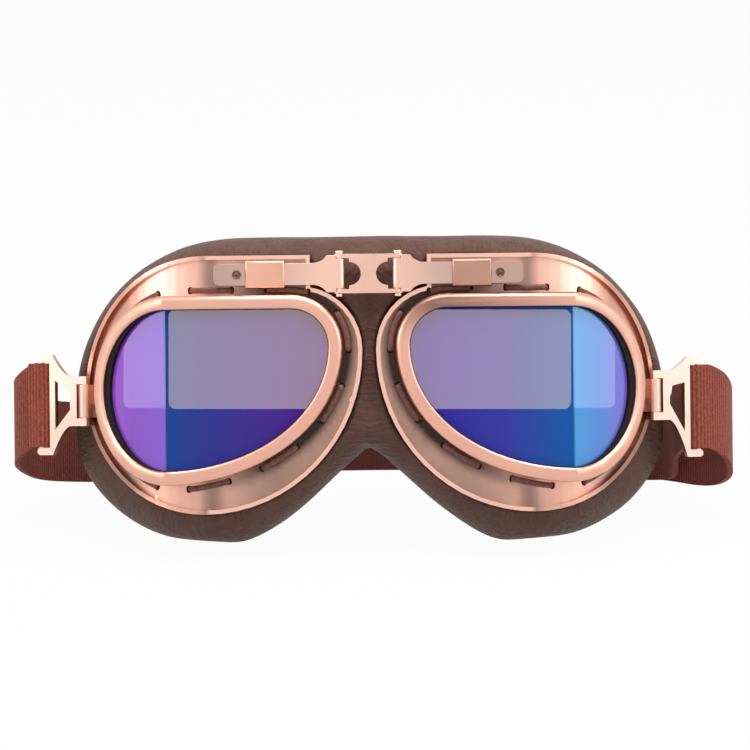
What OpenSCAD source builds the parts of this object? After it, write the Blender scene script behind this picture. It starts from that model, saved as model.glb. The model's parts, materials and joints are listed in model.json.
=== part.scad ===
// Motorcycle goggles: two hinged eyecups with bent mirror lenses, laced to one face pad, with cast
// buckles and an elastic head strap. They stand on the pad and on the back of the strap.
// Left is -X and right is +X, the lenses face -Y, and all sizes are in millimetres and degrees.

/* [Stance] */
// Angle that the goggles lean back as they stand
lean = 14; // [10:1:16]

/* [Lens] */
// Distance from the middle to the crease of the lens
crease_x = 59.7; // [57:0.1:62]
// Angle that the side pane is raked back
rake = 36; // [32:1:38]
// Thickness of the lens
lens_t = 1.7; // [1.2:0.1:2.5]
// Thickness of the gasket in front of and behind the lens
gasket_t = 1.2; // [0.8:0.1:1.6]
// Thickness of the gasket round the edge of the lens
gasket_edge = 0.6; // [0.4:0.1:0.9]
// Width of the gasket that shows inside the rim
gasket_show = 0.1; // [0.1:0.1:0.5]
// Extra width of the gasket at the temple
gasket_temple = 1.9; // [0:0.1:2.5]

/* [Rim] */
// Half of the rim's height
rim_half = 27.45; // [25:0.1:28.5]
// Distance from the middle to the nose edge of the rim
rim_nose_x = 7.7; // [7:0.1:9]
// Radius of the rim's upper nose corner
rim_nose_r = 15; // [13:0.5:16]
// Width of the rim's front face
rim_face = 4.1; // [3.6:0.1:4.6]
// Thickness of the rim's wall
rim_wall = 1.2; // [0.9:0.1:1.4]
// Thickness of the rim's front lip
rim_lip = 1; // [0.8:0.1:1.6]
// Radius of the rim's outer front edge
rim_edge_r = 1.4; // [0.8:0.1:1.5]
// Radius of the rim's inner front edge
rim_bead_r = 0.7; // [0.4:0.1:0.8]
// Height of the neck between the gasket and the cup plate
neck = 1; // [0.6:0.1:1.4]

/* [Cup plate] */
// Thickness of the cup plate
cup_t = 0.9; // [0.7:0.1:1.2]
// Height of the cup plate's top edge above the rim
cup_above = 11.6; // [11:0.05:12.5]
// Depth of the cup plate's bottom edge below the rim
cup_below = 8.6; // [7.6:0.05:10]
// Width of the cup plate beside the rim's outermost point
cup_beside = 3.2; // [2.8:0.1:4]
// Distance from the middle to the nose edge of the cup plate
cup_nose = 2; // [1.5:0.1:2.4]
// Radius of the cup plate's nose corner
cup_nose_r = 18.5; // [18:0.1:19.5]
// Depth of the nose corner's centre below the rim's top
cup_nose_z = 15.95; // [14.45:0.05:16.45]
// Distance from the lens crease in to the tallest stretch of the cup plate
cup_mid_in = 11.7; // [10:0.1:13]
// Distance from the middle to the inner end of the tab that carries the bridge arm
tab_x = 17; // [16:0.1:18]
// Distance from the lens crease in to where the cup plate starts to bend back
bend_in = 13.7; // [13:0.1:14.5]
// Radius of the bend
bend_r = 34; // [30:0.5:36]
// Angle of the bend
bend_angle = 46; // [44:1:48]
// Height of the lip round the cup plate
lip_rise = 1.3; // [1:0.1:1.5]
// Width of the lip
lip_w = 1.2; // [0.8:0.1:1.4]
// Distance of the lace from the rim
lace_off = 1.6; // [1.5:0.1:1.8]

/* [Lace] */
// Number of stitches round each cup
stitches = 10; // [8:1:12]
// Width of the lace
lace_w = 1.9; // [1.6:0.1:2.1]
// Thickness of the lace
lace_t = 0.8; // [0.6:0.1:1]
// Share of each stitch that lies on the front
stitch_share = 0.54; // [0.45:0.01:0.6]
// Place of the first stitch along the channel
stitch_start = 6; // [0:0.5:10]
// Clearance of the lace in its holes and on the plate
lace_fit = 0.15; // [0.1:0.05:0.2]

/* [Bridge] */
// Distance from the middle to each hinge pin
pin_x = 8.5; // [8:0.1:9.5]
// Height of the hinge pins' middle above the rim
pin_above = 6; // [5.6:0.05:6.05]
// Radius of the hinge pins
pin_r = 0.8; // [0.6:0.05:0.9]
// Height of the bridge plate
bridge_h = 11.4; // [10:0.1:12]
// Width of the bridge plate at its waist
waist = 4.4; // [3:0.1:5]
// Radius of the round part of each cut-out
cutout_r = 3.4; // [2.5:0.1:3.6]
// Thickness of the bridge plate and the arms
arm_t = 1.2; // [1:0.1:1.4]
// Height of each ear of the bridge plate round a hinge pin
ear_h = 1.2; // [0.9:0.1:1.5]
// Radius of the rolled knuckles
knuckle_r = 1.7; // [1.4:0.1:1.8]
// Height of an arm at its hinge
arm_head = 10.7; // [9.5:0.1:11]
// Length of an arm's head from the hinge pin
arm_head_l = 3.6; // [3:0.1:5]
// Height of an arm's strip
arm_h = 6.3; // [5:0.1:6.4]
// Radius of the hollow between head and strip
arm_hollow = 5; // [4:0.1:6]
// Length of an arm from the hinge pin
arm_l = 36.4; // [34:0.1:37]
// Distance from the arm's outer end to the middle of the clip
clip_at = 14.9; // [14.4:0.1:16.4]
// Width of the clip
clip_w = 11.6; // [9:0.1:12]
// Thickness of the clip's sheet
clip_t = 0.75; // [0.5:0.05:0.8]
// Distance from the arm's outer end to the rivet
rivet_in = 6.7; // [5.5:0.1:6.9]
// Radius of the rivet's head
rivet_r = 1.3; // [1:0.1:1.5]

/* [Buckle] */
// Height of the buckle's middle above the lens centre
buckle_z = -2.9; // [-6:0.1:-2]
// Drop of the left buckle's outer bar below its hinge
left_drop = 1.1; // [0:0.1:2]
// Drop of the right buckle's outer bar below its hinge
right_drop = 3.6; // [2:0.1:4]
// Angle of the buckle behind the X axis at rest
buckle_rest = 20; // [10:1:25]
// Thickness of the buckle
buckle_t = 2; // [1.6:0.1:2.2]
// Half of the buckle's height at its hinge end
buckle_end = 7.4; // [7:0.1:8]
// Height of the rolled lug
lug_h = 9.8; // [8:0.1:10]
// Radius of the rolled lug
lug_r = 1.9; // [1.7:0.05:2.1]
// Radius of the buckle's hinge bar
hinge_bar_r = 0.9; // [0.7:0.05:1]
// Distance from the hinge to the buckle's outer bar
outer_bar_x = 14.4; // [14:0.1:17]
// Radius of the buckle's outer bar
outer_bar_r = 0.95; // [0.8:0.05:1]
// Width of the buckle's inner bar
inner_bar_w = 1.8; // [1.4:0.1:2]
// Width of the buckle's frame above and below the strap
buckle_frame = 2.2; // [1.8:0.1:2.6]

/* [Pad] */
// Height of the pad above the cup plate
pad_above = 6.35; // [4.5:0.05:8]
// Depth of the pad below the cup plate
pad_below = 10.5; // [8:0.05:11.5]
// Width of the pad beside the cup plate
pad_beside = 4.7; // [4:0.1:6]
// Depth of the nose notch below the lens centre
notch_z = 17.5; // [15:0.1:20]
// Depth of the pad's back behind the rim's front, at the nose
pad_back = 31; // [28:0.5:34]
// Depth that the pad's back gains from the nose to the temples
pad_wrap = 21; // [18:0.5:24]
// Clearance between the pad and the cup plate
pad_gap = 0.3; // [0.2:0.05:0.5]
// Thickness of the lining on the back of the pad
lining_t = 2.4; // [1.5:0.1:3]

/* [Strap] */
// Width of the strap
strap_w = 25; // [22:0.5:26]
// Thickness of the strap
strap_t = 1.6; // [1.2:0.1:1.8]
// Depth of the strap's back behind its straight stretch at the slider
strap_sweep = 14.5; // [12:0.5:20]
// Thickness of the slider's bars
slider_bar = 1; // [0.8:0.1:1.2]
// Length of the slider along the strap
slider_l = 12; // [10:0.5:14]

/* [Fits] */
// Gap between pieces that are fixed to each other
fit = 0.05; // [0.03:0.01:0.08]
// Radial clearance of the hinge pins and bars
run_fit = 0.08; // [0.05:0.01:0.1]
// Clearance beside moving knuckles and lugs
side_fit = 0.2; // [0.15:0.05:0.3]
// Clearance between the strap and what it passes through
strap_fit = 0.3; // [0.25:0.05:0.4]

/* [Hidden] */
$fn = 48;
far = 300;
tiny = 0.001;

// The cup plate, the hinge pins and the pad are placed from the rim outwards
cup_top = rim_half + cup_above;
cup_low = rim_half + cup_below;
cup_side = crease_x + rim_half * cos(rake) + cup_beside;
cup_mid_x = crease_x - cup_mid_in;
cup_nose_cz = rim_half - cup_nose_z;
bend_x = crease_x - bend_in;
pin_z = rim_half + pin_above;
pad_top = cup_top + pad_above;
pad_low = cup_low + pad_below;
pad_side = cup_side + pad_beside;

// Depths behind the rim's front face: the stack from the rim's lip to the cup plate
gasket_front = rim_lip + fit;
lens_front = gasket_front + gasket_t + fit;
lens_back = lens_front + lens_t;
gasket_back = lens_back + fit + gasket_t;
rim_depth = gasket_back + neck;
cup_y = rim_depth + fit;

// Offsets from the rim's outline of what sits inside and outside it
gasket_out = -(rim_wall + fit);
lens_out = gasket_out - gasket_edge - fit;
gasket_in = -(rim_face + gasket_show);
cup_hole = -2 * rim_wall;
lace_room = 0.3;
pad_inner_front = lace_off + lace_w + lace_room;
pad_inner_mid = lace_off + lace_w / 2;
pad_inner_back = lace_off;

// The bridge arm lies in front of the lip, with its knuckle rolled to the back
arm_fit = 2 * fit;
lip_clear = 0.35;
arm_back = cup_y - max(clip_t + 2 * arm_fit, lip_rise + lip_clear);
arm_front = arm_back - arm_t;
pin_y = arm_front + knuckle_r;
rivet_at = arm_l - rivet_in;
clip_mid = arm_l - clip_at;

// Stations round the rim's outline: straight top, nose corner, lower curve and side arc
n_top = 4;
n_nose = 10;
n_low = 22;
n_side = 28;
n_front = n_top + n_nose + n_low;
n_rim = n_front + n_side;
rim_nose_cx = rim_nose_x + rim_nose_r;
rim_nose_cz = rim_half - rim_nose_r;

function mix(a, b, t) = a + (b - a) * t;
function steps(i, first, count) = (i - first) / count;

// A point of the rim's outline, moved out by d: place along the unfolded pane, and height
function rim_sz(i, d) =
    i < n_top ? [mix(crease_x, rim_nose_cx, i / n_top), rim_half + d]
    : i < n_top + n_nose ?
        let (a = 90 + 90 * steps(i, n_top, n_nose), r = rim_nose_r + d)
        [rim_nose_cx + r * cos(a), rim_nose_cz + r * sin(a)]
    : i < n_front ?
        let (a = 180 + 90 * steps(i, n_top + n_nose, n_low))
        [crease_x + (crease_x - rim_nose_x + d) * cos(a),
         rim_nose_cz + (rim_nose_cz + rim_half + d) * sin(a)]
    : let (a = -90 + 180 * steps(i, n_front, n_side))
        [crease_x + (rim_half + d) * cos(a), (rim_half + d) * sin(a)];

// Folds the unfolded pane at its crease, with h behind its front face
function folded(s, z, h) =
    abs(s - crease_x) < tiny ? [crease_x - h * tan(rake / 2), h, z]
    : s < crease_x ? [s, h, z]
    : [crease_x + (s - crease_x) * cos(rake) - h * sin(rake), (s - crease_x) * sin(rake) + h * cos(rake), z];

function rim_point(i, d, h) = let (p = rim_sz(i, d)) folded(p[0], p[1], h);

// Depth of a face of the cup plate, off behind its front face; the plate bends back towards the temple
function bend_out(off) = bend_x + (bend_r - off) * sin(bend_angle);
function sheet_y(x, off) = cup_y + (
    x < bend_x ? off
    : x < bend_out(off) ? bend_r - sqrt(pow(bend_r - off, 2) - pow(x - bend_x, 2))
    : bend_r - (bend_r - off) * cos(bend_angle) + (x - bend_out(off)) * tan(bend_angle));
function cup_front(x) = sheet_y(x, 0);
bend_end = bend_out(0);
bend_drop = bend_r * (1 - cos(bend_angle));

// Points where the rim's outline, moved out by d, meets the cup plate
function seat_point(i, d, lift) =
    let (p = rim_point(i, d, rim_depth)) [p[0], cup_front(p[0]) - lift, p[2]];
function seat_outline(d) = [for (i = [0:n_rim - 1]) let (p = rim_point(i, d, rim_depth)) [p[0], p[2]]];

// Where a leaning point stands above the floor and in depth
function lifted(p) = p[2] * cos(lean) - p[1] * sin(lean);
function backed(p) = p[1] * cos(lean) + p[2] * sin(lean);

// Faces of a closed band of rings, with the points of one ring after those of the last
function loft_faces(rings, count) = [
    for (k = [0:rings - 1], i = [0:count - 1])
        let (a = k * count + i, b = k * count + (i + 1) % count,
             c = (k + 1) % rings * count + (i + 1) % count, d = (k + 1) % rings * count + i)
        each [[a, b, c], [a, c, d]]];

function flat_list(lists) = [for (l = lists) each l];

// Smooth curve through points: the point at share t between p1 and p2
function smooth(p0, p1, p2, p3, t) =
    (2 * p1 + (p2 - p0) * t + (2 * p0 - 5 * p1 + 4 * p2 - p3) * pow(t, 2)
     + (3 * p1 - p0 - 3 * p2 + p3) * pow(t, 3)) / 2;
function curve(points, per_span) =
    let (n = len(points))
    [for (i = [0:n - 2], j = [0:per_span - 1])
        smooth(points[max(i - 1, 0)], points[i], points[i + 1], points[min(i + 2, n - 1)], j / per_span)];

// Extrudes an outline in X and Z right through the part along Y
module through(points) rotate([90, 0, 0]) linear_extrude(far, center = true) polygon(points);

// Places a child in depth: an outline in X and Z, from depth y0 to y1
module plate(y0, y1) translate([0, y1, 0]) rotate([90, 0, 0]) linear_extrude(y1 - y0) children();

// Leans the goggles back and stands them on the floor, centred in depth
module stand() translate([0, -depth_mid, -floor_z]) rotate([-lean, 0, 0]) children();
module right_side() stand() children();
module left_side() stand() mirror([1, 0, 0]) children();

// Lens rim: a bent bezel with a rounded front, sitting on the cup plate
rim_section = concat(
    [for (a = [0:30:90]) [rim_edge_r * (cos(a) - 1), rim_edge_r * (1 - sin(a))]],
    [for (a = [0:30:90]) [rim_bead_r * (1 - sin(a)) - rim_face, rim_bead_r * (1 - cos(a))]],
    [[-rim_face, rim_lip], [-rim_wall, rim_lip]]);

function section_rings(section) = [for (s = section) [for (i = [0:n_rim - 1]) rim_point(i, s[0], s[1])]];
rim_rings = concat(
    section_rings(rim_section),
    [for (d = [-rim_wall, 0]) [for (i = [0:n_rim - 1]) seat_point(i, d, 2 * fit)]]);

module lens_rim() color([0.84, 0.58, 0.48])
    polyhedron(flat_list(rim_rings), loft_faces(len(rim_rings), n_rim), convexity = 8);

// A bent slab with the rim's outline moved out by d, from depth h0 to h1 behind the front face
module pane(d, h0, h1) {
    front = [for (i = [0:n_front]) rim_sz(i, d)];
    side = [for (i = [n_front:n_rim]) rim_sz(i % n_rim, d)];
    tuck = rim_depth;
    intersection() {
        plate(h0, h1) polygon(front);
        linear_extrude(far, center = true)
            polygon([[0, 0], [crease_x, 0], [crease_x - far * tan(rake / 2), far], [-far, far], [-far, 0]]);
    }
    intersection() {
        translate([crease_x, 0, 0]) rotate([0, 0, rake]) translate([-crease_x, 0, 0])
            plate(h0, h1) union() {
                polygon(side);
                translate([crease_x - tuck, -rim_half - d]) square([tuck, 2 * (rim_half + d)]);
            }
        linear_extrude(far, center = true)
            polygon([[crease_x, 0], [far, 0], [far, far], [crease_x - far * tan(rake / 2), far]]);
    }
}

module lens() color([0.35, 0.35, 0.75]) pane(lens_out, lens_front, lens_back);

// Rubber channel round the edge of the lens, with a broader lip at the temple
groove_out = lens_out + fit;
groove_front = lens_front - fit;
groove_back = lens_back + fit;
gasket_section = [
    [gasket_out, gasket_front, 0], [gasket_in, gasket_front, gasket_temple],
    [gasket_in, groove_front, gasket_temple], [groove_out, groove_front, 0],
    [groove_out, groove_back, 0], [gasket_in, groove_back, gasket_temple],
    [gasket_in, gasket_back, gasket_temple], [gasket_out, gasket_back, 0]];
function temple_share(i) = i < n_front ? 0 : pow(sin(180 * steps(i, n_front, n_side)), 2);
gasket_rings = [for (s = gasket_section)
    [for (i = [0:n_rim - 1]) rim_point(i, s[0] - s[2] * temple_share(i), s[1])]];

module lens_gasket() color([0.06, 0.05, 0.06])
    polyhedron(flat_list(gasket_rings), loft_faces(len(gasket_rings), n_rim), convexity = 8);

// Outline of the cup plate, moved out by d, with the step of the arm's tab
n_cup = 16;
cup_nose_cx = cup_nose + cup_nose_r;
function cup_outline(d) =
    let (tab_turn = acos((tab_x - d - cup_nose_cx) / (cup_nose_r + d)))
    concat(
        [[tab_x - d, cup_top + d]],
        [for (j = [0:n_cup]) let (a = 90 - 90 * j / n_cup)
            [cup_mid_x + (cup_side - cup_mid_x + d) * cos(a), (cup_top + d) * sin(a)]],
        [for (j = [1:n_cup]) let (a = -90 * j / n_cup)
            [cup_mid_x + (cup_side - cup_mid_x + d) * cos(a), (cup_low + d) * sin(a)]],
        [for (j = [1:n_cup]) let (a = -90 - 90 * j / n_cup)
            [cup_mid_x + (cup_mid_x - cup_nose + d) * cos(a),
             cup_nose_cz + (cup_low + cup_nose_cz + d) * sin(a)]],
        [for (j = [1:n_cup / 2]) let (a = mix(180, tab_turn, 2 * j / n_cup))
            [cup_nose_cx + (cup_nose_r + d) * cos(a), cup_nose_cz + (cup_nose_r + d) * sin(a)]]);

// The bent sheet of the cup plate, between two offsets behind its front face
bend_steps = 8;
bend_run = 40;
function sheet_edge(off) =
    let (r = bend_r - off)
    concat(
        [[0, cup_y + off]],
        [for (j = [0:bend_steps]) let (a = bend_angle * j / bend_steps)
            [bend_x + r * sin(a), cup_y + bend_r - r * cos(a)]],
        [[bend_x + r * sin(bend_angle) + bend_run * cos(bend_angle),
          cup_y + bend_r - r * cos(bend_angle) + bend_run * sin(bend_angle)]]);
function reversed(list) = [for (i = [len(list) - 1:-1:0]) list[i]];
module sheet(front, back)
    linear_extrude(far, center = true) polygon(concat(sheet_edge(front), reversed(sheet_edge(back))));

// Length along the lace channel, and the place at a given length
channel = [for (i = [0:n_rim]) seat_point(i % n_rim, lace_off, 0)];
function run_to(i) = i == 0 ? 0 : run_to(i - 1) + norm(channel[i] - channel[i - 1]);
channel_runs = [for (i = [0:n_rim]) run_to(i)];
channel_len = channel_runs[n_rim];
channel_x = [for (i = [0:n_rim]) [channel_runs[i], channel[i][0]]];
channel_z = [for (i = [0:n_rim]) [channel_runs[i], channel[i][2]]];
function along(run) =
    let (r = (run + channel_len) % channel_len) [lookup(r, channel_x), lookup(r, channel_z)];
stitch_pitch = channel_len / stitches;
hole_runs = [for (k = [0:stitches - 1]) each [for (t = [0, stitch_share])
    stitch_start + (k + t) * stitch_pitch]];

// Lace slots, across the channel
slot_half = 0.75;
slot_reach = lace_w / 2 + lace_fit;
module lace_slot(run) {
    p = along(run);
    course = along(run + 1) - along(run - 1);
    translate([p[0], 0, p[1]]) rotate([90, -atan2(course[1], course[0]), 0])
        linear_extrude(far, center = true) hull()
            for (s = [-1, 1]) translate([0, s * (slot_reach - slot_half)]) circle(slot_half, $fn = 16);
}

module cup_flange() color([0.80, 0.54, 0.44]) difference() {
    union() {
        intersection() {
            through(cup_outline(0));
            sheet(0, cup_t);
        }
        intersection() {
            difference() {
                through(cup_outline(0));
                through(cup_outline(-lip_w));
            }
            sheet(-lip_rise, cup_t / 2);
        }
    }
    through(seat_outline(cup_hole));
    for (run = hole_runs) lace_slot(run);
    translate([pin_x + rivet_at, 0, pin_z]) rotate([90, 0, 0])
        cylinder(h = far, r = rivet_r / 2 + fit, center = true);
}

// Lace: one flat cord sewn in and out of the holes, as stations of run and height over the plate
lace_over = lace_t / 2 + lace_fit;
lace_under = -(cup_t + lace_t / 2 + lace_fit);
lace_mid = -cup_t / 2;
function lace_turn(run, from, to) = [
    [run - slot_half, from],
    [run - slot_half * 0.4, mix(from, lace_mid, 0.15)],
    [run, lace_mid],
    [run + slot_half * 0.4, mix(to, lace_mid, 0.15)],
    [run + slot_half, to]];
lace_stations = [for (k = [0:2 * stitches - 1])
    let (run = hole_runs[k], next = k + 1 < 2 * stitches ? hole_runs[k + 1] : hole_runs[0] + channel_len,
         over = k % 2 == 0)
    each concat(
        over ? lace_turn(run, lace_under, lace_over) : lace_turn(run, lace_over, lace_under),
        [for (t = [1 / 3, 2 / 3])
            [mix(run + slot_half, next - slot_half, t), over ? lace_over : lace_under]])];
function lace_point(station) =
    let (p = along(station[0])) [p[0], sheet_y(p[0], -station[1]), p[1]];
lace_path = [for (s = lace_stations) lace_point(s)];
lace_sides = 6;
n_lace = len(lace_path);
function unit(v) = v / norm(v);
function lace_ring(i) =
    let (before = lace_path[(i + n_lace - 1) % n_lace], after = lace_path[(i + 1) % n_lace],
         run = lace_stations[i][0], q0 = along(run - 1), q1 = along(run + 1),
         course = [q1[0] - q0[0], cup_front(q1[0]) - cup_front(q0[0]), q1[1] - q0[1]],
         slope = (cup_front(lace_path[i][0] + tiny) - cup_front(lace_path[i][0] - tiny)) / (2 * tiny),
         across = unit(cross(unit(course), unit([slope, -1, 0]))),
         up = unit(cross(after - before, across)))
    [for (j = [0:lace_sides - 1]) let (a = 360 * j / lace_sides)
        lace_path[i] + across * lace_w / 2 * cos(a) + up * lace_t / 2 * sin(a)];

module lace() color([0.40, 0.21, 0.16])
    polyhedron(
        flat_list([for (i = [0:n_lace - 1]) lace_ring(i)]), loft_faces(n_lace, lace_sides), convexity = 8);

// Bridge plate: pressed sheet with two D-shaped cut-outs and ears rolled round the hinge pins
ear_room = bridge_h / 2 - ear_h;
cutout_x = waist / 2 + cutout_r;
module pin_axis() translate([pin_x, pin_y, pin_z]) children();
module bridge_half() difference() {
    union() {
        plate(arm_front, arm_back) translate([0, pin_z - bridge_h / 2]) square([pin_x, bridge_h]);
        for (z = [-bridge_h / 2, ear_room])
            pin_axis() translate([0, 0, z]) cylinder(h = ear_h, r = knuckle_r);
    }
    plate(arm_front - 1, arm_back + 1) {
        translate([cutout_x, pin_z]) circle(cutout_r);
        translate([cutout_x, pin_z - ear_room]) square([pin_x, 2 * ear_room]);
    }
    pin_axis() cylinder(h = far, r = pin_r + fit, center = true);
}
module bridge_plate() color([0.90, 0.66, 0.56]) stand() {
    bridge_half();
    mirror([1, 0, 0]) bridge_half();
}

// Hinge pin with a head at the top and a peened end
pin_head_h = 0.9;
pin_head_r = pin_r + 0.5;
module hinge_pin() color([0.93, 0.76, 0.68]) pin_axis() {
    cylinder(h = bridge_h + 2 * fit, r = pin_r, center = true);
    translate([0, 0, bridge_h / 2 + fit]) cylinder(h = pin_head_h, r = pin_head_r);
    translate([0, 0, -bridge_h / 2 - fit - pin_head_h]) cylinder(h = pin_head_h, r = pin_head_r - 0.2);
}

// Bridge arm: a strip with a wide head, rolled round the hinge pin between the ears
arm_corner = 1.5;
arm_neck = (arm_head - arm_h) / 2;
hollow_l = sqrt(pow(arm_hollow, 2) - pow(arm_hollow - arm_neck, 2));
module arm_outline() translate([pin_x, pin_z]) {
    difference() {
        translate([0, -arm_head / 2]) square([arm_head_l + hollow_l, arm_head]);
        for (s = [-1, 1]) translate([arm_head_l + hollow_l, s * (arm_h / 2 + arm_hollow)]) circle(arm_hollow);
    }
    translate([0, -arm_h / 2]) square([arm_l - arm_corner, arm_h]);
    translate([arm_l - arm_corner, arm_corner - arm_h / 2]) square([arm_corner, arm_h - 2 * arm_corner]);
    for (s = [-1, 1]) translate([arm_l - arm_corner, s * (arm_h / 2 - arm_corner)]) circle(arm_corner);
}
module bridge_arm() color([0.90, 0.66, 0.56]) difference() {
    union() {
        plate(arm_front, arm_back) arm_outline();
        pin_axis() cylinder(h = 2 * (ear_room - side_fit), r = knuckle_r, center = true);
    }
    pin_axis() cylinder(h = far, r = pin_r + run_fit, center = true);
    for (z = [ear_room - side_fit, -far - ear_room + side_fit])
        pin_axis() translate([0, 0, z]) cylinder(h = far, r = knuckle_r + side_fit);
    translate([pin_x + rivet_at, 0, pin_z]) rotate([90, 0, 0])
        cylinder(h = far, r = rivet_r / 2 + fit, center = true);
}

// Clip: a folded sleeve round the arm, with a foot on the cup plate
clip_half = arm_h / 2 + arm_fit + clip_t;
clip_front = arm_front - arm_fit - clip_t;
module arm_clip() color([0.92, 0.68, 0.58]) translate([pin_x + clip_mid, 0, pin_z]) difference() {
    union() {
        translate([-clip_w / 2, clip_front, -clip_half])
            cube([clip_w, arm_t + 2 * (arm_fit + clip_t), 2 * clip_half]);
        translate([-clip_w / 2, clip_front, -arm_h / 2]) cube([clip_w, cup_y - fit - clip_front, arm_h]);
    }
    translate([-clip_w, arm_front - arm_fit, clip_t - clip_half])
        cube([2 * clip_w, arm_t + 2 * arm_fit, 2 * (clip_half - clip_t)]);
}

// Rivet through the arm and the cup plate, with a collar between them
rivet_head = 0.7;
module rivet_length(y0, y1, r)
    translate([pin_x + rivet_at, y1, pin_z]) rotate([90, 0, 0]) cylinder(h = y1 - y0, r = r);
module arm_rivet() color([0.70, 0.47, 0.38]) {
    difference() {
        rivet_length(arm_front - fit - rivet_head, arm_front - fit, rivet_r);
        difference() {
            rivet_length(arm_front - far, arm_front - fit - rivet_head / 2, 0.75 * rivet_r);
            rivet_length(arm_front - 2 * far, arm_front, 0.35 * rivet_r);
        }
    }
    rivet_length(arm_front - 2 * fit, cup_y + cup_t, rivet_r / 2);
    rivet_length(arm_back + fit, cup_y - fit, rivet_r);
}

// Lug: a strip on the side of the cup plate, rolled round the buckle's hinge bar
lug_wall = lug_r - hinge_bar_r - run_fit;
lug_low = lug_h / 2 - buckle_z;
lip_inside = cup_mid_x + (cup_side - cup_mid_x) * sqrt(1 - pow(lug_low / cup_low, 2)) - lip_w;
lug_base_out = (lip_inside - bend_end - lip_rise * sin(bend_angle)) / cos(bend_angle) - side_fit;
lug_run = lug_base_out + lug_r - lug_wall;
lug_off = lip_rise + side_fit + lug_r;
module on_side() translate([bend_end, cup_y + bend_drop, buckle_z]) rotate([0, 0, bend_angle]) children();
module strap_lug() color([0.90, 0.68, 0.58]) on_side() difference() {
    union() {
        translate([lug_base_out - lug_wall, -lug_off, -lug_h / 2]) cube([lug_wall, lug_off - fit, lug_h]);
        translate([lug_run, -lug_off, 0]) cylinder(h = lug_h, r = lug_r, center = true);
    }
    translate([lug_run, -lug_off, 0]) cylinder(h = far, r = hinge_bar_r + run_fit, center = true);
}

// Buckle: cast frame with a hinge bar, a tapered window, an inner bar and the strap's outer bar
hinge_x = bend_end + lug_run * cos(bend_angle) + lug_off * sin(bend_angle);
hinge_y = cup_y + bend_drop + lug_run * sin(bend_angle) - lug_off * cos(bend_angle);
lug_slot = lug_r + 2 * side_fit;
lug_room = lug_h / 2 + side_fit;
web_w = 2.2;
window_x = lug_slot + web_w;
loop_r = outer_bar_r + strap_fit + strap_t / 2;
strap_slot_x = outer_bar_x - loop_r - strap_t / 2 - strap_fit;
inner_bar_x = strap_slot_x - inner_bar_w;
strap_room = strap_w / 2 + strap_fit;
buckle_half = strap_room + buckle_frame;
window_near = 2.6;
window_far = 7.4;
flare_x = inner_bar_x + inner_bar_w / 2;
arm_bow = 1.6;
arm_steps = 8;
module buckle_frame_2d(drop) difference() {
    union() {
        translate([-hinge_bar_r, -buckle_end]) square([window_x + hinge_bar_r, 2 * buckle_end]);
        polygon(concat(buckle_arm(1, drop), reversed(buckle_arm(-1, drop))));
        translate([flare_x - tiny, -buckle_half - drop])
            square([outer_bar_x - flare_x + tiny, 2 * buckle_half]);
        for (s = [-1, 1])
            translate([outer_bar_x, s * (buckle_half - buckle_frame / 2) - drop]) circle(buckle_frame / 2);
    }
    translate([-far, -lug_room]) square([far + lug_slot, 2 * lug_room]);
    polygon([
        [window_x, window_near], [inner_bar_x, window_far - drop],
        [inner_bar_x, -window_far - drop], [window_x, -window_near]]);
    translate([strap_slot_x, -strap_room - drop]) square([far, 2 * strap_room]);
}
function buckle_arm(s, drop) = [for (j = [0:arm_steps]) let (t = j / arm_steps)
    [mix(window_x, flare_x, t), mix(s * buckle_end, s * buckle_half - drop, pow(t, arm_bow))]];
module buckle(drop)
    color([0.95, 0.80, 0.72]) translate([hinge_x, hinge_y, buckle_z]) rotate([0, 0, buckle_rest]) {
        plate(-buckle_t / 2, buckle_t / 2) buckle_frame_2d(drop);
        cylinder(h = 2 * (lug_room + tiny), r = hinge_bar_r, center = true);
        translate([outer_bar_x, 0, -drop])
            cylinder(h = 2 * (strap_room + tiny), r = outer_bar_r, center = true);
    }

// Outline on which the pad meets the back of the cup plate, at the rim's stations
pad_tuck = 0.6;
function pad_front_xz(i) =
    let (top = cup_top - pad_tuck, low = cup_low - pad_tuck, nose = cup_nose + pad_tuck / 3,
         side = cup_side - pad_tuck)
    i < n_top ? [mix(cup_mid_x, cup_nose_cx, i / n_top), top]
    : i < n_top + n_nose ? let (a = 90 + 90 * steps(i, n_top, n_nose))
        [cup_nose_cx + (cup_nose_cx - nose) * cos(a), cup_nose_cz + (top - cup_nose_cz) * sin(a)]
    : i < n_front ? let (a = 180 + 90 * steps(i, n_top + n_nose, n_low))
        [cup_mid_x + (cup_mid_x - nose) * cos(a), cup_nose_cz + (low + cup_nose_cz) * sin(a)]
    : let (a = -90 + 180 * steps(i, n_front, n_side))
        [cup_mid_x + (side - cup_mid_x) * cos(a), (a < 0 ? low : top) * sin(a)];

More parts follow.
